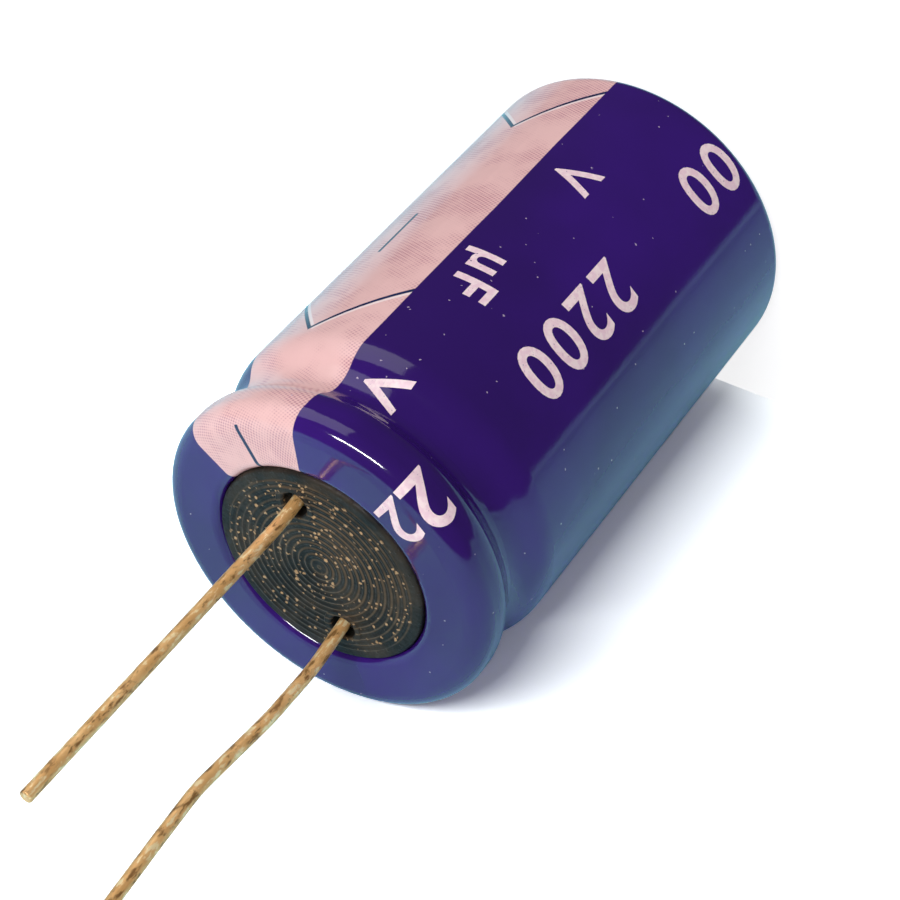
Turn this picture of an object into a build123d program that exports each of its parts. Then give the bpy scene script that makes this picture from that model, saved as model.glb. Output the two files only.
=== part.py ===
from build123d import *

import os
from math import asin, cos, degrees, radians, sin, sqrt

# Radial-lead aluminium electrolytic capacitor, standing on its closed end with its two leads up.
# Millimetres. +Z runs up the can towards the leads. The origin is the centre of the ring that it
# stands on. The leads lie on the X axis, the cathode at +X and the anode at -X.

# Overall size
body_height = 43.2          # from the standing ring to the ring round the leads
can_radius = 12.5           # outside of the can's straight wall

# Drawn aluminium can
can_wall = 0.4
base_corner = 1.0           # outer radius of the closed end's edge
bead_below_rim = 5.0        # centre of the rolled-in groove, down from the rim's top
bead_depth = 1.2
bead_lower_half = 3.6       # groove's length on the body's side
bead_upper_half = 3.0       # and on the rim's side
rim_drop = 0.15             # the curled rim is this much smaller in radius than the wall
rim_rounding = 1.35
lip_width = 4.25            # curled lip, from the rim's outside to the hole that it leaves
lip_bend = 0.55             # outer radius of the lip's turn into the seal
lip_reach = 1.3             # how far the lip's edge lies below the rim's top
vent_length = 14.0          # one line of the pressure vent's cross on the closed end
vent_depth = 0.2
vent_width = 0.6

# Heat-shrunk plastic sleeve
sleeve_wall = 0.15
sleeve_clearance = 0.02
sleeve_base_lap = 3.0       # how far in it laps over the closed end
sleeve_lip_reach = 0.95     # how far it turns down into the lip

# Rubber seal
seal_height = 8.9
seal_clearance = 0.02
face_recess = 0.1           # the seal's face, below the sleeve's ring
face_rounding = 0.3
ring_pitch = 0.5            # turning marks of the seal's mould
ring_width = 0.3
ring_height = 0.05
ring_first = 1.0
ring_margin = 0.9           # plain border outside the last mark
collar_radius = 1.5         # raised edge round each lead's hole
collar_height = 0.1
mouth_radius = 0.95         # open part of each hole, above the tab's stem
mouth_depth = 1.0
mouth_chamfer = 0.12

# Lead wires and their tabs
lead_pitch = 10.0
lead_radius = 0.45
lead_end_rounding = 0.12
stem_offset = 0.2           # a stem's axis, further out than its wire's
stem_radius = 1.0
stem_clearance = 0.02
stem_below_seal = 0.6
weld_radius = 0.6           # weld between the wire and its stem
weld_height = 0.3
blade_thickness = 0.3
blade_width = 3.6
blade_taper = 2.4           # length over which the round stem flattens
blade_end_height = 6.0      # lower end of the flattened blade
blade_clearance = 0.05

# Winding: two foils and two papers rolled together, held by a tape
winding_clearance = 0.05    # over the can's floor
winding_side_gap = 0.5      # between the winding and the can's wall
mandrel_radius = 1.6
blade_above_winding = 0.3   # bare blade between the winding and the tab's taper
tape_thickness = 0.1
tape_height = 16.0
tape_overlap = 50.0         # degrees of the tape's second layer

# The wires' bends and cut ends: height over the seal's face, and sideways shift from the lead's axis
lead_sides = {"cathode": 1, "anode": -1}
root_shifts = {"cathode": 0.25, "anode": 0.0}
lead_bends = {
    "cathode": [(2.0, 0.0), (27.0, 0.0)],
    "anode": [(4.0, 0.42), (9.0, 0.38), (16.0, -0.18), (20.0, 0.04), (31.5, 0.78)],
}
bend_directions = {"cathode": 0.0, "anode": 222.0}      # degrees from +X
bend_radii = {"cathode": [18.0], "anode": [18.0, 30.0, 16.0, 26.0]}

# Worked out from the sizes above
skin = sleeve_clearance + sleeve_wall
base_z = skin
rim_z = body_height - skin
bead_z = rim_z - bead_below_rim
bead_radius = can_radius - bead_depth
rim_radius = can_radius - rim_drop
lip_radius = rim_radius - lip_width
sleeve_base_opening = can_radius - sleeve_base_lap
throat_radius = lip_radius - skin - seal_clearance
ring_last = throat_radius - ring_margin
winding_radius = can_radius - can_wall - winding_side_gap
face_z = body_height - face_recess
seal_base_z = rim_z - can_wall - seal_height
winding_base_z = base_z + can_wall + winding_clearance
winding_top_z = seal_base_z - stem_below_seal - blade_taper - blade_above_winding
stem_x = lead_pitch / 2 + stem_offset
stem_top_z = face_z - mouth_depth
lead_base_z = stem_top_z + weld_height


def arc(centre, radius, start, end):
    """Arc in the (r, z) half-plane; angles in degrees from the outward radius."""
    points = [
        (centre[0] + radius * cos(radians(a)), centre[1] + radius * sin(radians(a)))
        for a in (start, (start + end) / 2, end)
    ]
    return ThreePointArc(*points)


def bead_half(drop, half):
    """Radius and turn of the two equal arcs that cross a drop over a length."""
    radius = (half**2 + drop**2) / (4 * drop)
    return radius, degrees(asin(half / 2 / radius))


def shell_line(offset, first_radius, end_z):
    """The can's outer line, moved out by offset: from the closed end round to the lip's edge."""
    low_radius, low_turn = bead_half(bead_depth, bead_lower_half)
    top_radius, top_turn = bead_half(rim_radius - bead_radius, bead_upper_half)
    low_z = bead_z - bead_lower_half
    top_z = bead_z + bead_upper_half
    lip_centre = (lip_radius + lip_bend, rim_z - lip_bend)
    rim_centre = (rim_radius - rim_rounding, rim_z - rim_rounding)
    curves = [
        arc((can_radius - base_corner, base_z + base_corner), base_corner + offset, -90, 0),
        arc((can_radius - low_radius, low_z), low_radius + offset, 0, low_turn),
        arc((bead_radius + low_radius, bead_z), low_radius - offset, 180 + low_turn, 180),
        arc((bead_radius + top_radius, bead_z), top_radius - offset, 180, 180 - top_turn),
        arc((rim_radius - top_radius, top_z), top_radius + offset, -top_turn, 0),
        arc(rim_centre, rim_rounding + offset, 0, 90),
        arc(lip_centre, lip_bend + offset, 90, 180),
    ]
    edges = []
    last = Vector(first_radius, base_z - offset)
    for curve in curves:
        if (curve @ 0 - last).length > 1e-6:
            edges.append(Line(last, curve @ 0))
        edges.append(curve)
        last = curve @ 1
    edges.append(Line(last, (last.X, end_z)))
    return edges


def turned(edges):
    """Solid of revolution about Z from a closed outline in the (r, z) half-plane."""
    return revolve(Plane.XZ * make_face(edges), Axis.Z)


def between(inner, outer):
    """Closes two shell lines into one outline."""
    caps = [Line(inner[0] @ 0, outer[0] @ 0), Line(inner[-1] @ 1, outer[-1] @ 1)]
    return inner + outer + caps


def rod(radius, low_z, high_z, x=0.0):
    return Pos(x, 0, low_z) * Cylinder(
        radius, high_z - low_z, align=(Align.CENTER, Align.CENTER, Align.MIN)
    )


def make_can():
    end_z = rim_z - lip_reach
    shell = turned(between(shell_line(-can_wall, 0, end_z), shell_line(0, 0, end_z)))
    groove = Rot(45, 0, 0) * Box(vent_length, vent_width / sqrt(2), vent_width / sqrt(2))
    floor_z = base_z - vent_width / 2 + vent_depth
    for turn in (45, 135):
        shell -= Pos(0, 0, floor_z) * Rot(0, 0, turn) * groove
    return shell


def make_sleeve():
    end_z = rim_z - sleeve_lip_reach
    inside = shell_line(sleeve_clearance, sleeve_base_opening, end_z)
    outside = shell_line(skin, sleeve_base_opening, end_z)
    return turned(between(inside, outside))


def face_line(edge_radius):
    """The seal's face from its rounded edge in to the axis, with its turning marks."""
    edges = []
    last = Vector(edge_radius, face_z)
    count = int((ring_last - ring_first) / ring_pitch)
    for index in range(count, -1, -1):
        middle = ring_first + index * ring_pitch
        outer, inner = (middle + ring_width / 2, face_z), (middle - ring_width / 2, face_z)
        edges.append(Line(last, outer))
        edges.append(ThreePointArc(outer, (middle, face_z + ring_height), inner))
        last = Vector(*inner)
    edges.append(Line(last, (0, face_z)))
    return edges


def make_seal():
    # The can's inner line from the seal's base up, under the rim and round the lip's edge
    gap = can_wall + seal_clearance
    lip_edge_z = rim_z - lip_reach - seal_clearance
    wall = [edge for edge in shell_line(-gap, 0, lip_edge_z) if (edge @ 1).Y > seal_base_z]
    wall_start = Vector(can_radius - gap, seal_base_z)
    wall[0] = Line(wall_start, wall[0] @ 1)
    centre = (throat_radius - face_rounding, face_z - face_rounding)
    outline = [
        Line((0, seal_base_z), wall_start),
        *wall,
        Line(wall[-1] @ 1, (throat_radius, lip_edge_z)),
        Line((throat_radius, lip_edge_z), (throat_radius, centre[1])),
        arc(centre, face_rounding, 0, 90),
        *face_line(centre[0]),
        Line((0, face_z), (0, seal_base_z)),
    ]
    seal = turned(outline)
    top_z = face_z + collar_height
    for side in lead_sides.values():
        x = side * stem_x
        collar = Pos(x, 0, face_z - ring_height) * Cone(
            collar_radius + ring_height,
            collar_radius - collar_height,
            collar_height + ring_height,
            align=(Align.CENTER, Align.CENTER, Align.MIN),
        )
        seal += collar
        seal -= rod(stem_radius + stem_clearance, seal_base_z, stem_top_z + stem_clearance, x)
        seal -= rod(mouth_radius, stem_top_z, top_z + 1, x)
        seal -= Pos(x, 0, top_z - mouth_chamfer) * Cone(
            mouth_radius,
            mouth_radius + 2 * mouth_chamfer,
            2 * mouth_chamfer,
            align=(Align.CENTER, Align.CENTER, Align.MIN),
        )
    return seal


def make_tab(name):
    """Aluminium tab: round stem through the seal, flattened into a blade in the winding."""
    x = lead_sides[name] * stem_x
    stem_z = seal_base_z - stem_below_seal
    taper_z = stem_z - blade_taper
    weld = Pos(lead_point(name, stem_top_z, root_shifts[name])) * Cone(
        weld_radius, lead_radius, weld_height, align=(Align.CENTER, Align.CENTER, Align.MIN)
    )
    round_end = Pos(x, 0, stem_z) * Circle(stem_radius)
    flat_end = Pos(x, 0, taper_z) * Rectangle(blade_thickness, blade_width)
    blade = Pos(x, 0, blade_end_height) * Box(
        blade_thickness,
        blade_width,
        taper_z - blade_end_height,
        align=(Align.CENTER, Align.CENTER, Align.MIN),
    )
    return rod(stem_radius, stem_z, stem_top_z, x) + weld + loft([flat_end, round_end]) + blade


def lead_point(name, z, shift):
    """Point on a lead's centre line: its own axis, pushed sideways by a shift."""
    turn = radians(bend_directions[name])
    axis_x = lead_sides[name] * lead_pitch / 2
    return Vector(axis_x + shift * cos(turn), shift * sin(turn), z)


def make_lead(name):
    root = lead_point(name, lead_base_z, root_shifts[name])
    route = [lead_point(name, face_z + height, shift) for height, shift in lead_bends[name]]
    path = FilletPolyline(root, *route, radius=bend_radii[name])
    wire = sweep(Plane(root, z_dir=path % 0) * Circle(lead_radius), path)
    return fillet(wire.edges().group_by(Axis.Z)[-1], lead_end_rounding)


def make_winding():
    roll = rod(winding_radius, winding_base_z, winding_top_z)
    roll -= rod(mandrel_radius, winding_base_z, winding_top_z)
    for side in lead_sides.values():
        low_z = blade_end_height - blade_clearance
        roll -= Pos(side * stem_x, 0, low_z) * Box(
            blade_thickness + 2 * blade_clearance,
            blade_width + 2 * blade_clearance,
            winding_top_z - low_z,
            align=(Align.CENTER, Align.CENTER, Align.MIN),
        )
    return roll


def make_tape():
    """One closed turn, and the lap of its end over its start."""
    low_z = (winding_base_z + winding_top_z - tape_height) / 2
    inner = winding_radius + sleeve_clearance
    turn = Rectangle(tape_thickness, tape_height, align=(Align.MIN, Align.MIN))
    first = revolve(Plane.XZ * Pos(inner, low_z) * turn, Axis.Z)
    lap = revolve(Plane.XZ * Pos(inner + tape_thickness, low_z) * turn, Axis.Z, tape_overlap)
    return first + lap


pieces = {
    "sleeve": make_sleeve(),
    "can": make_can(),
    "rubber_seal": make_seal(),
    "foil_winding": make_winding(),
    "winding_tape": make_tape(),
}
for name in lead_sides:
    pieces[name + "_lead_wire"] = make_lead(name)
    pieces[name + "_tab"] = make_tab(name)

os.makedirs("parts", exist_ok=True)
for name, shape in pieces.items():
    export_step(shape, f"parts/{name}.step")
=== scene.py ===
import math

import bmesh
import bpy
from mathutils import Matrix, Vector
from mathutils.bvhtree import BVHTree

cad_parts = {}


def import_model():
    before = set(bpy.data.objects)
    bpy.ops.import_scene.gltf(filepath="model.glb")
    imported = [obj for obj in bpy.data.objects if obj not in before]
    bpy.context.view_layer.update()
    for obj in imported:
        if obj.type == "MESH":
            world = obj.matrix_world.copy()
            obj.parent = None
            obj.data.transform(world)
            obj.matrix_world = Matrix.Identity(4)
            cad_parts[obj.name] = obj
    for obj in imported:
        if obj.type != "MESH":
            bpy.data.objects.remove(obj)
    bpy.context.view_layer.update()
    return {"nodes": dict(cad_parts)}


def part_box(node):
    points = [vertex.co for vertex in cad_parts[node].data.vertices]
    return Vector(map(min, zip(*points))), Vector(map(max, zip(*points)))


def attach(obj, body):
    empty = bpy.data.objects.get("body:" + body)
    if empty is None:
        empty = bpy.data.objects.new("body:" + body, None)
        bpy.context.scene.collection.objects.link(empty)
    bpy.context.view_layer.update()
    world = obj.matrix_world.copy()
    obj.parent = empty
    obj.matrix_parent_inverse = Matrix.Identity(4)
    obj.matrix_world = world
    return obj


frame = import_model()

# Looks of the capacitor: printed purple sleeve, dusty rubber seal and tarnished lead wires.
# The part stands on its closed end, leads up. Lengths are metres, and MM turns millimetres into them.
MM = 0.001
nodes = frame["nodes"]

low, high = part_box("sleeve")
BODY_RADIUS = (high.x - low.x) / 2
RING_HEIGHT = high.z                 # top of the ring round the leads
SEAL_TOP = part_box("rubber_seal")[1].z

# Printed stripe over the cathode lead, in degrees round the can from +X
STRIPE_RIGHT = -11.4
STRIPE_LEFT = 35.0
CHEVRON_AZIMUTH = 12.0
CHEVRON_TIPS = (RING_HEIGHT - 35.6 * MM, RING_HEIGHT - 9.3 * MM)
CHEVRON_SHADOW = 0.34 * MM           # pale line beside each chevron
LINE_WIDTH = 0.28 * MM
HALFTONE_PITCH = 0.36 * MM
HALFTONE_SLANT = 0.35
MINUS_AZIMUTH = 16.0
MINUS_SPAN = (RING_HEIGHT - 23.8 * MM, RING_HEIGHT - 18.8 * MM)
RING_MARK_AZIMUTH = 12.1

# Camera: lies over the side of the can, turned so that the leads point down and left
CAMERA_PLACE = Vector((81.07 * MM, -88.76 * MM, RING_HEIGHT + 78.99 * MM))
CAMERA_LOOK = Vector((-0.5388, 0.5769, -0.6140))
CAMERA_UP = Vector((0.7978, 0.1153, -0.5918))
CAMERA_LENS = 88.0
TABLE_AZIMUTH = -18.5                # the table's upward direction, seen round the can


# Ragged outlines of dust and specks: how fine the noise is, and how far it shifts a point
TORN_SCALE = 5000.0
TORN_REACH = 0.25 * MM

# Light: the room's level, and what gloss mirrors of the table and of the room on each side of it
ROOM_LEVEL = 0.27
TABLE_MIRRORED = (0.42, 0.84, 1.0)
UNDER_TABLE_MIRRORED = (0.45, 0.86, 1.0)
UNDER_TABLE_LEVEL = 0.9
OVER_TABLE_LEVEL = 0.06
LIGHT_AIM = Vector((0, 0, 20 * MM))


# ---------------------------------------------------------------- node helpers

class Graph:
    """A material's node tree, with short calls for the nodes used here."""

    def __init__(self, name):
        self.material = bpy.data.materials.new(name)
        self.material.use_nodes = True
        self.tree = self.material.node_tree
        self.tree.nodes.clear()
        self.output = self.add("ShaderNodeOutputMaterial")

    def add(self, kind, **settings):
        node = self.tree.nodes.new(kind)
        for key, value in settings.items():
            setattr(node, key, value)
        return node

    def put(self, socket, value):
        if isinstance(value, bpy.types.NodeSocket):
            self.tree.links.new(value, socket)
        elif value is not None:
            socket.default_value = value

    def math(self, operation, a, b=None, c=None):
        node = self.add("ShaderNodeMath", operation=operation)
        for socket, value in zip(node.inputs, (a, b, c)):
            self.put(socket, value)
        return node.outputs[0]

    def ramp(self, value, start, end, low=0.0, high=1.0):
        """Smooth step of a value from start to end."""
        node = self.add("ShaderNodeMapRange", interpolation_type="SMOOTHSTEP")
        for socket, item in zip(node.inputs, (value, start, end, low, high)):
            self.put(socket, item)
        return node.outputs[0]

    def mix(self, share, a, b):
        node = self.add("ShaderNodeMix", data_type="RGBA")
        self.put(node.inputs[0], share)
        self.put(node.inputs[6], (*a, 1) if isinstance(a, tuple) else a)
        self.put(node.inputs[7], (*b, 1) if isinstance(b, tuple) else b)
        return node.outputs[2]

    def position(self):
        """Object-space place, which is the row frame in metres, and its x, y, z."""
        place = self.add("ShaderNodeTexCoord").outputs["Object"]
        parts = self.add("ShaderNodeSeparateXYZ")
        self.put(parts.inputs[0], place)
        return place, *parts.outputs

    def vector(self, x, y, z):
        node = self.add("ShaderNodeCombineXYZ")
        for socket, value in zip(node.inputs, (x, y, z)):
            self.put(socket, value)
        return node.outputs[0]

    def noise(self, vector, scale, detail=3.0, roughness=0.5):
        node = self.add("ShaderNodeTexNoise")
        self.put(node.inputs["Vector"], vector)
        self.put(node.inputs["Scale"], scale)
        self.put(node.inputs["Detail"], detail)
        self.put(node.inputs["Roughness"], roughness)
        return node.outputs[0]

    def torn(self, vector):
        """The same place shifted by fine noise, which gives spots ragged outlines."""
        noise = self.add("ShaderNodeTexNoise")
        self.put(noise.inputs["Vector"], vector)
        self.put(noise.inputs["Scale"], TORN_SCALE)
        shift = self.add("ShaderNodeVectorMath", operation="MULTIPLY_ADD")
        self.put(shift.inputs[0], noise.outputs["Color"])
        self.put(shift.inputs[1], (TORN_REACH, TORN_REACH, TORN_REACH))
        self.put(shift.inputs[2], vector)
        return shift.outputs[0]

    def specks(self, vector, scale, size, share):
        """Small round spots: one in a share of the cells, of a size within the cell."""
        node = self.add("ShaderNodeTexVoronoi")
        self.put(node.inputs["Vector"], vector)
        self.put(node.inputs["Scale"], scale)
        near = self.ramp(node.outputs["Distance"], size, size * 0.5)
        pick = self.add("ShaderNodeSeparateColor")
        self.put(pick.inputs[0], node.outputs["Color"])
        chosen = self.math("LESS_THAN", pick.outputs[0], share)
        return self.math("MULTIPLY", near, chosen)

    def bump(self, height, distance, strength=1.0, normal=None):
        node = self.add("ShaderNodeBump")
        self.put(node.inputs["Height"], height)
        self.put(node.inputs["Distance"], distance)
        self.put(node.inputs["Strength"], strength)
        self.put(node.inputs["Normal"], normal)
        return node.outputs[0]

    def surface(self, **sockets):
        shader = self.add("ShaderNodeBsdfPrincipled")
        for name, value in sockets.items():
            name = name.replace("_", " ")
            if isinstance(value, tuple):
                value = (*value, 1)
            self.put(shader.inputs[name], value)
        self.put(self.output.inputs[0], shader.outputs[0])
        return self.material


def any_of(graph, masks):
    result = masks[0]
    for mask in masks[1:]:
        result = graph.math("MAXIMUM", result, mask)
    return result


# ---------------------------------------------------------------- materials

PURPLE = (0.036, 0.007, 0.170)
PURPLE_DARK = (0.026, 0.006, 0.115)
PINK = (0.52, 0.24, 0.29)
PINK_PALE = (0.84, 0.53, 0.52)
NAVY = (0.012, 0.022, 0.085)
PRINT = (0.90, 0.72, 0.74)
DUST = (0.62, 0.50, 0.62)


def sleeve_material():
    g = Graph("printed_sleeve")
    place, x, y, z = g.position()
    azimuth = g.math("MULTIPLY", g.math("ARCTAN2", y, x), 180 / math.pi)
    radius = g.math("SQRT", g.math("ADD", g.math("MULTIPLY", x, x), g.math("MULTIPLY", y, y)))
    around = g.math("MULTIPLY", azimuth, BODY_RADIUS * math.pi / 180)
    sheet = g.vector(around, z, radius)

    # Stripe: its edges drift by a fraction of a degree
    drift = g.math("MULTIPLY", g.math("SUBTRACT", g.noise(sheet, 90.0, 1.0), 0.5), 0.9)
    drifted = g.math("ADD", azimuth, drift)
    right = g.ramp(drifted, STRIPE_RIGHT - 0.15, STRIPE_RIGHT + 0.15)
    left = g.ramp(drifted, STRIPE_LEFT + 0.15, STRIPE_LEFT - 0.15)
    stripe = g.math("MULTIPLY", right, left)

    # Chevrons that point to the leads, and the pale line beside each
    def chevron(tip, shift):
        side = g.math("SUBTRACT", around, math.radians(CHEVRON_AZIMUTH) * BODY_RADIUS - shift)
        line = g.math("ADD", z, g.math("ABSOLUTE", side))
        gap = g.math("ABSOLUTE", g.math("SUBTRACT", line, tip))
        half = LINE_WIDTH / 2 * math.sqrt(2)
        return g.ramp(gap, half * 1.25, half * 0.75)

    lines = any_of(g, [chevron(tip, 0.0) for tip in CHEVRON_TIPS])
    pale = any_of(g, [chevron(tip, CHEVRON_SHADOW) for tip in CHEVRON_TIPS])

    # Minus mark on the body, and a line across the ring
    def meridian(mark_azimuth, near, start, end):
        turn = g.math("RADIANS", g.math("SUBTRACT", azimuth, mark_azimuth))
        gap = g.math("ABSOLUTE", g.math("MULTIPLY", radius, turn))
        line = g.ramp(gap, LINE_WIDTH * 0.65, LINE_WIDTH * 0.4)
        inside = g.math("MULTIPLY", g.math("GREATER_THAN", near, start), g.math("LESS_THAN", near, end))
        return g.math("MULTIPLY", line, inside)

    minus = meridian(MINUS_AZIMUTH, z, *MINUS_SPAN)
    on_ring = g.math("GREATER_THAN", z, RING_HEIGHT - 0.4 * MM)
    ring_mark = g.math("MULTIPLY", meridian(RING_MARK_AZIMUTH, radius, 6 * MM, 11.5 * MM), on_ring)
    navy = any_of(g, [lines, minus, ring_mark])

    # Halftone of the stripe: slanting rows of dots that run on from the side over the ring
    along = g.math("SUBTRACT", z, radius)
    row_place = g.math("ADD", around, g.math("MULTIPLY", along, HALFTONE_SLANT))
    dot_place = g.math("SUBTRACT", along, g.math("MULTIPLY", around, HALFTONE_SLANT))
    rows = g.math("SINE", g.math("MULTIPLY", row_place, 2 * math.pi / HALFTONE_PITCH))
    dots = g.math("SINE", g.math("MULTIPLY", dot_place, 2 * math.pi / HALFTONE_PITCH))
    screen = g.math("MULTIPLY", g.math("ADD", g.math("MULTIPLY", rows, dots), 1.0), 0.5)
    blotch = g.noise(sheet, 260.0, 4.0, 0.6)
    screen = g.math("MULTIPLY", screen, g.ramp(blotch, 0.3, 0.7, 0.15, 1.0))
    pink = g.mix(g.ramp(screen, 0.15, 0.95), PINK_PALE, PINK)
    pink = g.mix(g.ramp(g.noise(sheet, 120.0, 5.0, 0.65), 0.40, 0.75, 0.0, 0.22), pink, (0.62, 0.36, 0.36))
    pink = g.mix(g.math("MULTIPLY", pale, 0.8), pink, (0.93, 0.78, 0.78))
    pink = g.mix(navy, pink, NAVY)

    shade = g.ramp(g.noise(sheet, 55.0, 3.0), 0.35, 0.65)
    purple = g.mix(shade, PURPLE, PURPLE_DARK)
    colour = g.mix(stripe, purple, pink)

    # Dust and short scratches
    torn = g.torn(place)
    dust = any_of(g, [g.specks(torn, 800.0, 0.09, 0.10), g.specks(torn, 1700.0, 0.13, 0.07)])
    streaks = g.vector(around, g.math("MULTIPLY", z, 0.22), radius)
    scratch = g.specks(streaks, 900.0, 0.08, 0.05)
    marks = g.math("MULTIPLY", g.math("MAXIMUM", dust, scratch), 0.75)
    colour = g.mix(marks, colour, DUST)

    rough = g.ramp(g.noise(sheet, 180.0, 4.0), 0.3, 0.7, 0.07, 0.11)
    rough = g.math("ADD", rough, g.math("MULTIPLY", stripe, 0.10))
    waves = g.noise(g.vector(around, g.math("MULTIPLY", z, 0.35), radius), 160.0, 2.0)
    fine = g.noise(place, 2600.0, 2.0)
    normal = g.bump(waves, 0.035 * MM)
    normal = g.bump(fine, 0.004 * MM, 1.0, normal)
    return g.surface(Base_Color=colour, Roughness=rough, IOR=1.6, Normal=normal)


def print_material():
    g = Graph("pale_print")
    place = g.position()[0]
    grain = g.noise(place, 5200.0, 2.0, 0.6)
    holes = g.ramp(grain, 0.34, 0.27)
    colour = g.mix(g.ramp(g.noise(place, 2400.0, 2.0), 0.35, 0.65), PRINT, (0.82, 0.58, 0.66))
    colour = g.mix(g.math("MULTIPLY", holes, 0.65), colour, PURPLE)
    return g.surface(Base_Color=colour, Roughness=g.ramp(grain, 0.3, 0.7, 0.28, 0.4), IOR=1.5)


def rubber_material():
    g = Graph("dusty_black_rubber")
    place, x, y, z = g.position()
    radius = g.math("SQRT", g.math("ADD", g.math("MULTIPLY", x, x), g.math("MULTIPLY", y, y)))
    base = g.mix(g.ramp(g.noise(place, 350.0, 4.0), 0.35, 0.7), (0.009, 0.008, 0.007), (0.034, 0.024, 0.016))
    # Rings on the seal's face: a painted highlight along each ring's crest, patchy, in light brown
    ring = g.math("SINE", g.math("MULTIPLY", radius, 2 * math.pi / (0.5 * MM)))
    crest = g.ramp(ring, 0.3, 1.0)
    crest_highlight = g.math("MULTIPLY", crest, g.ramp(g.noise(place, 500.0, 3.0), 0.30, 0.60, 0.25, 1.0))
    inside = g.ramp(radius, 7.3 * MM, 7.0 * MM)
    face = g.math("MULTIPLY", inside, g.ramp(z, SEAL_TOP - 0.4 * MM, SEAL_TOP - 0.2 * MM))
    # Lays the painted crest highlight over the dark rubber, on the face only
    colour = g.mix(g.math("MULTIPLY", g.math("MULTIPLY", crest_highlight, face), 0.6), base, (0.15, 0.095, 0.05))
    torn = g.torn(place)
    specks = any_of(g, [
        g.specks(torn, 1500.0, 0.26, 0.42),
        g.specks(torn, 2600.0, 0.34, 0.42),
        g.specks(torn, 900.0, 0.16, 0.30),
    ])
    tint = g.mix(g.noise(place, 900.0, 1.0), (0.48, 0.26, 0.10), (0.66, 0.46, 0.26))
    colour = g.mix(g.math("MULTIPLY", g.math("MULTIPLY", specks, face), 0.85), colour, tint)
    grain = g.noise(place, 3000.0, 3.0, 0.6)
    normal = g.bump(grain, 0.03 * MM, 1.0)
    normal = g.bump(specks, 0.03 * MM, 1.0, normal)
    rough = g.ramp(grain, 0.3, 0.7, 0.42, 0.62)
    return g.surface(Base_Color=colour, Roughness=rough, IOR=1.5, Specular_IOR_Level=0.25, Normal=normal)


def wire_material():
    g = Graph("tarnished_lead_wire")
    place, x, y, z = g.position()
    along = g.vector(x, y, g.math("MULTIPLY", z, 0.35))
    fine = g.noise(along, 2600.0, 3.0, 0.6)
    broad = g.noise(place, 420.0, 3.0)
    gold = g.mix(g.ramp(broad, 0.3, 0.7), (0.92, 0.56, 0.24), (0.74, 0.41, 0.15))
    colour = g.mix(g.ramp(fine, 0.53, 0.66), gold, (0.30, 0.15, 0.05))
    colour = g.mix(g.ramp(fine, 0.46, 0.36), colour, (1.0, 0.80, 0.46))
    height = g.math("ADD", fine, g.math("MULTIPLY", g.noise(along, 900.0, 2.0), 0.6))
    normal = g.bump(height, 0.05 * MM)
    return g.surface(
        Base_Color=colour, Metallic=0.35, Roughness=g.ramp(broad, 0.3, 0.7, 0.26, 0.40), Normal=normal
    )


def metal_material(name, light, dark, scale, squeeze, rough):
    """Drawn or etched aluminium: streaks along the part."""
    g = Graph(name)
    x, y, z = g.position()[1:]
    streak = g.noise(g.vector(x, y, g.math("MULTIPLY", z, squeeze)), scale, 4.0, 0.6)
    normal = g.bump(streak, 0.01 * MM)
    colour = g.mix(streak, light, dark)
    return g.surface(
        Base_Color=colour, Metallic=1.0, Roughness=g.ramp(streak, 0.3, 0.7, rough, rough + 0.12), Normal=normal
    )


def fibre_material(name, light, dark, scale, rough):
    """Paper or tape: mottled, with a soft grain."""
    g = Graph(name)
    place = g.position()[0]
    grain = g.noise(place, scale, 5.0, 0.6)
    normal = g.bump(grain, 0.02 * MM)
    return g.surface(Base_Color=g.mix(grain, light, dark), Roughness=rough, Normal=normal)


def give(material, *names):
    for name in names:
        slots = nodes[name].data.materials
        slots.clear()
        slots.append(material)


# ---------------------------------------------------------------- printed marks

sleeve_mesh = nodes["sleeve"].data
sleeve_tree = BVHTree.FromPolygons(
    [v.co.copy() for v in sleeve_mesh.vertices], [tuple(p.vertices) for p in sleeve_mesh.polygons]
)
INK = 0.012 * MM                     # how far the print stands off the sleeve
CUT = 0.25 * MM                      # size of the squares that the lettering is cut into
PROBE = 0.5 * MM                     # how far outside the sleeve a point's ray starts
LOWEST_STEP = 5                      # the side's first station, in cuts above the closed end

# Centres of the rim's and the lip's rounding, as (r, z)
RIM_CENTRE = Vector((BODY_RADIUS - 1.67 * MM, RING_HEIGHT - 1.52 * MM))
LIP_CENTRE = Vector((8.65 * MM, RING_HEIGHT - 0.72 * MM))
OUTER_REACH = 20 * MM                # where rays start outside the can
LIP_REACH = 1.2 * MM                 # and inside the ring's opening


def flat_text(text, height, weight, spacing):
    """Lettering in the XY plane as a mesh, cut into small squares so that it can wrap."""
    curve = bpy.data.curves.new("lettering", "FONT")
    curve.body = text
    curve.size = height / 0.72
    curve.offset = weight
    curve.space_character = spacing
    curve.resolution_u = 6
    holder = bpy.data.objects.new("lettering", curve)
    bpy.context.scene.collection.objects.link(holder)
    bpy.context.view_layer.update()
    mesh = bpy.data.meshes.new_from_object(holder)
    bpy.data.objects.remove(holder)
    work = bmesh.new()
    work.from_mesh(mesh)
    for axis in (0, 1):
        ends = [v.co[axis] for v in work.verts]
        step = math.floor(min(ends) / CUT) + 1
        while step * CUT < max(ends):
            place, normal = Vector((0, 0, 0)), Vector((0, 0, 0))
            place[axis], normal[axis] = step * CUT, 1
            everything = work.verts[:] + work.edges[:] + work.faces[:]
            bmesh.ops.bisect_plane(work, geom=everything, plane_co=place, plane_no=normal, dist=1e-9)
            step += 1
    bmesh.ops.triangulate(work, faces=work.faces[:])
    work.to_mesh(mesh)
    work.free()
    return mesh


def finish_print(name, mesh, material):
    mesh.materials.clear()
    mesh.materials.append(material)
    piece = bpy.data.objects.new(name, mesh)
    bpy.context.scene.collection.objects.link(piece)
    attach(piece, "root")
    return piece


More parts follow.
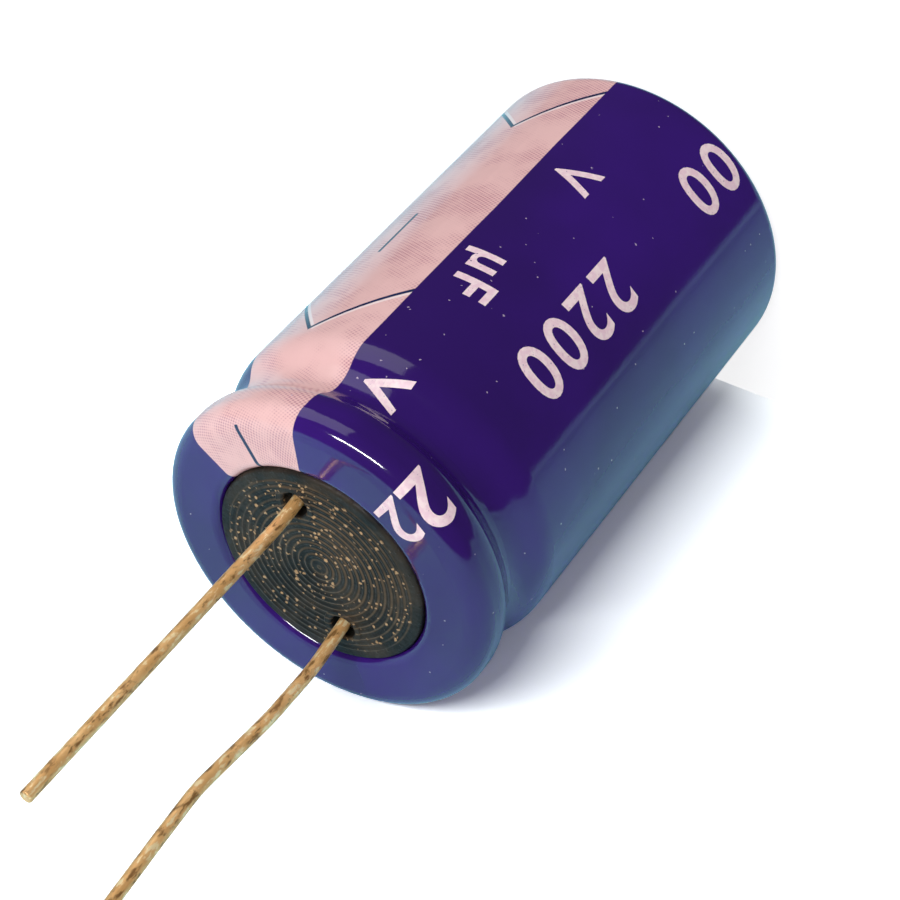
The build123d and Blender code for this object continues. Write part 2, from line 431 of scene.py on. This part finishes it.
def outer_line():
    """The sleeve's outer line, up the side to the lip, as stations of (length, place, outward) in (r, z)."""
    rim, lip = RIM_CENTRE, LIP_CENTRE
    side_steps = range(LOWEST_STEP, int(rim.y / CUT))
    ring_steps = range(1, int((rim.x - lip.x) / CUT))
    aims = [(Vector((0.0, step * CUT)), 0.0) for step in side_steps]
    aims += [(rim, angle) for angle in range(0, 91, 6)]
    aims += [(Vector((rim.x - step * CUT, rim.y)), 90.0) for step in ring_steps]
    aims += [(lip, angle) for angle in range(90, 176, 9)]
    stations = []
    for centre, angle in aims:
        outward = Vector((math.cos(math.radians(angle)), math.sin(math.radians(angle))))
        reach = OUTER_REACH if angle <= 90 else LIP_REACH
        start = centre + outward * reach
        inward = Vector((-outward.x, 0, -outward.y))
        hit = sleeve_tree.ray_cast(Vector((start.x, 0, start.y)), inward)[0]
        place = Vector((hit.x, hit.z))
        length = place.y
        if stations:
            length = stations[-1][0] + (place - stations[-1][1]).length
        stations.append((length, place, outward))
    return stations


def on_line(stations, length):
    """Place and outward direction at a length along the outer line."""
    for near, far in zip(stations, stations[1:]):
        if length <= far[0]:
            share = (length - near[0]) / (far[0] - near[0])
            return near[1].lerp(far[1], share), near[2].lerp(far[2], share).normalized()
    return stations[-1][1], stations[-1][2]


sleeve_line = outer_line()


def length_at(z):
    """Length along the outer line at which it first reaches a height."""
    for length, place, outward in sleeve_line:
        if place.y >= z:
            return length + z - place.y
    return sleeve_line[-1][0]


def wrap_text(name, text, height, below_ring, foot, spacing, weight, material):
    """Lettering that reads up the can and over its rim, its foot at an azimuth, its head beyond it."""
    mesh = flat_text(text, height, weight, spacing)
    start = length_at(RING_HEIGHT - below_ring)
    for vertex in mesh.vertices:
        place, outward = on_line(sleeve_line, start + vertex.co.x)
        turn = math.radians(foot) - vertex.co.y / BODY_RADIUS
        out = Vector((math.cos(turn) * outward.x, math.sin(turn) * outward.x, outward.y))
        centre = Vector((math.cos(turn) * place.x, math.sin(turn) * place.x, place.y))
        hit = sleeve_tree.ray_cast(centre + out * PROBE, -out)[0]
        vertex.co = (hit if hit else centre) + out * INK
    return finish_print(name, mesh, material)


give(sleeve_material(), "sleeve")
give(rubber_material(), "rubber_seal")
give(wire_material(), "cathode_lead_wire", "anode_lead_wire")
give(metal_material("drawn_can", (0.82, 0.83, 0.85), (0.66, 0.67, 0.70), 900.0, 0.05, 0.28), "can")
tab_metal = metal_material("tab_metal", (0.80, 0.80, 0.82), (0.60, 0.60, 0.62), 2500.0, 0.1, 0.35)
give(tab_metal, "anode_tab", "cathode_tab")
give(fibre_material("soaked_paper", (0.66, 0.54, 0.38), (0.50, 0.38, 0.24), 1800.0, 0.75), "foil_winding")
give(fibre_material("stop_tape", (0.78, 0.66, 0.38), (0.70, 0.56, 0.28), 600.0, 0.35), "winding_tape")

ink = print_material()
SMALL_FOOT, LARGE_FOOT = -18.5, -49.5
SMALL, LARGE = 3.2 * MM, 4.0 * MM
BOLD = 0.08 * MM

# Piece, lettering, height, how far below the ring it starts (mm), its foot's azimuth, letter spacing
PRINTS = (
    ("print_volts_low", "V", SMALL, 32.0, SMALL_FOOT, 1.0),
    ("print_microfarads", "µF", SMALL, 20.6, SMALL_FOOT, 1.15),
    ("print_volts_high", "V", SMALL, 7.4, SMALL_FOOT, 1.0),
    ("print_number_low", "00", LARGE, 42.0, LARGE_FOOT, 1.2),
    ("print_number", "2200", LARGE, 26.0, LARGE_FOOT, 1.2),
    ("print_number_high", "22", LARGE, 2.4, LARGE_FOOT, 1.0),
)
for name, text, height, below_ring, foot, spacing in PRINTS:
    wrap_text(name, text, height, below_ring * MM, foot, spacing, BOLD, ink)

# ---------------------------------------------------------------- stage, lights and camera

table_up = Vector((math.cos(math.radians(TABLE_AZIMUTH)), math.sin(math.radians(TABLE_AZIMUTH)), 0))
WHITE = (1.0, 1.0, 1.0)


def plane(name, centre, normal, size):
    mesh = bpy.data.meshes.new(name)
    half = size / 2
    corners = [(-half, -half, 0), (half, -half, 0), (half, half, 0), (-half, half, 0)]
    mesh.from_pydata(corners, [], [(0, 1, 2, 3)])
    piece = bpy.data.objects.new(name, mesh)
    piece.matrix_world = Matrix.Translation(centre) @ normal.to_track_quat("Z", "Y").to_matrix().to_4x4()
    bpy.context.scene.collection.objects.link(piece)
    return piece


def table_material():
    """White from the front, where it keeps the part's shadow, and clear from behind."""
    g = Graph("white_table")
    place = g.add("ShaderNodeTexCoord").outputs["Object"]
    tone = g.mix(g.noise(place, 40.0, 2.0), (0.93, 0.97, 0.98), (0.95, 0.98, 0.99))
    mirrored = g.add("ShaderNodeLightPath").outputs["Is Glossy Ray"]
    tone = g.mix(mirrored, tone, TABLE_MIRRORED)
    plain = g.add("ShaderNodeBsdfDiffuse")
    g.put(plain.inputs[0], tone)
    extra = g.add("ShaderNodeBsdfDiffuse")
    seen = g.add("ShaderNodeLightPath").outputs["Is Camera Ray"]
    g.put(extra.inputs[0], g.mix(seen, (0.0, 0.0, 0.0), (0.80, 0.86, 0.90)))
    lit = g.add("ShaderNodeAddShader")
    g.put(lit.inputs[0], plain.outputs[0])
    g.put(lit.inputs[1], extra.outputs[0])
    clear = g.add("ShaderNodeBsdfTransparent")
    choose = g.add("ShaderNodeMixShader")
    g.put(choose.inputs[0], g.add("ShaderNodeNewGeometry").outputs["Backfacing"])
    g.put(choose.inputs[1], lit.outputs[0])
    g.put(choose.inputs[2], clear.outputs[0])
    g.put(g.output.inputs[0], choose.outputs[0])
    return g.material


def floor_material():
    g = Graph("white_floor")
    diffuse = g.add("ShaderNodeBsdfDiffuse")
    place = g.add("ShaderNodeTexCoord").outputs["Object"]
    g.put(diffuse.inputs[0], g.mix(g.noise(place, 30.0, 2.0), (0.30, 0.30, 0.31), (0.33, 0.33, 0.34)))
    glow = g.add("ShaderNodeEmission")
    g.put(glow.inputs[0], (*WHITE, 1))
    g.put(glow.inputs[1], 0.82)
    lit = g.add("ShaderNodeAddShader")
    g.put(lit.inputs[0], diffuse.outputs[0])
    g.put(lit.inputs[1], glow.outputs[0])
    clear = g.add("ShaderNodeBsdfTransparent")
    choose = g.add("ShaderNodeMixShader")
    g.put(choose.inputs[0], g.add("ShaderNodeLightPath").outputs["Is Camera Ray"])
    g.put(choose.inputs[1], clear.outputs[0])
    g.put(choose.inputs[2], lit.outputs[0])
    g.put(g.output.inputs[0], choose.outputs[0])
    return g.material


table = plane("table", -table_up * BODY_RADIUS + Vector((0, 0, RING_HEIGHT)), table_up, 0.9)
table.data.materials.append(table_material())
floor = plane("floor", Vector((0, 0, -0.05 * MM)), Vector((0, 0, 1)), 3.0)
floor.data.materials.append(floor_material())


def area_light(name, direction, distance, width, height, power):
    """Rectangular light that looks at the part from a direction."""
    lamp = bpy.data.lights.new(name, "AREA")
    lamp.shape = "RECTANGLE"
    lamp.size = width
    lamp.size_y = height
    lamp.energy = power
    light = bpy.data.objects.new(name, lamp)
    light.location = LIGHT_AIM + Vector(direction).normalized() * distance
    light.rotation_euler = (LIGHT_AIM - light.location).to_track_quat("-Z", "Y").to_euler()
    bpy.context.scene.collection.objects.link(light)


# A long narrow window over the table, which draws the line of light on the rim, and a weak broad fill
area_light("window", (0.70, -0.22, 0.62), distance=0.6, width=0.30, height=0.03, power=2.7)
area_light("fill", (0.95, 0.15, -0.10), distance=0.7, width=0.5, height=0.5, power=0.9)


def world():
    """White to the camera; to the part, a white table side and a dim room over it."""
    scene_world = bpy.data.worlds.new("room")
    scene_world.use_nodes = True
    tree = scene_world.node_tree
    tree.nodes.clear()
    link = tree.links.new
    output = tree.nodes.new("ShaderNodeOutputWorld")
    direction = tree.nodes.new("ShaderNodeTexCoord").outputs["Generated"]
    dot = tree.nodes.new("ShaderNodeVectorMath")
    dot.operation = "DOT_PRODUCT"
    link(direction, dot.inputs[0])
    dot.inputs[1].default_value = table_up
    rise = tree.nodes.new("ShaderNodeMapRange")
    rise.interpolation_type = "SMOOTHSTEP"
    rise.inputs[1].default_value = -0.02
    rise.inputs[2].default_value = 0.04
    link(dot.outputs["Value"], rise.inputs[0])

    def background(colour, strength):
        node = tree.nodes.new("ShaderNodeBackground")
        node.inputs[0].default_value = (*colour, 1)
        node.inputs[1].default_value = strength
        return node.outputs[0]

    def choose(share, first, second):
        node = tree.nodes.new("ShaderNodeMixShader")
        link(share, node.inputs[0])
        link(first, node.inputs[1])
        link(second, node.inputs[2])
        return node.outputs[0]

    paths = tree.nodes.new("ShaderNodeLightPath").outputs
    seen = choose(rise.outputs[0], background(UNDER_TABLE_MIRRORED, UNDER_TABLE_LEVEL), background(WHITE, OVER_TABLE_LEVEL))
    lit = choose(paths["Is Glossy Ray"], background(WHITE, ROOM_LEVEL), seen)
    link(choose(paths["Is Camera Ray"], lit, background(WHITE, 1.0)), output.inputs[0])
    return scene_world


scene = bpy.context.scene
scene.world = world()
scene.view_settings.view_transform = "Standard"

camera_data = bpy.data.cameras.new("camera")
camera_data.lens = CAMERA_LENS
camera_data.sensor_width = 36.0
camera_data.clip_start = 0.005
camera = bpy.data.objects.new("camera", camera_data)
across = CAMERA_LOOK.cross(CAMERA_UP).normalized()
upward = across.cross(CAMERA_LOOK).normalized()
turn = Matrix((across, upward, -CAMERA_LOOK.normalized())).transposed().to_4x4()
camera.matrix_world = Matrix.Translation(CAMERA_PLACE) @ turn
scene.collection.objects.link(camera)
scene.camera = camera
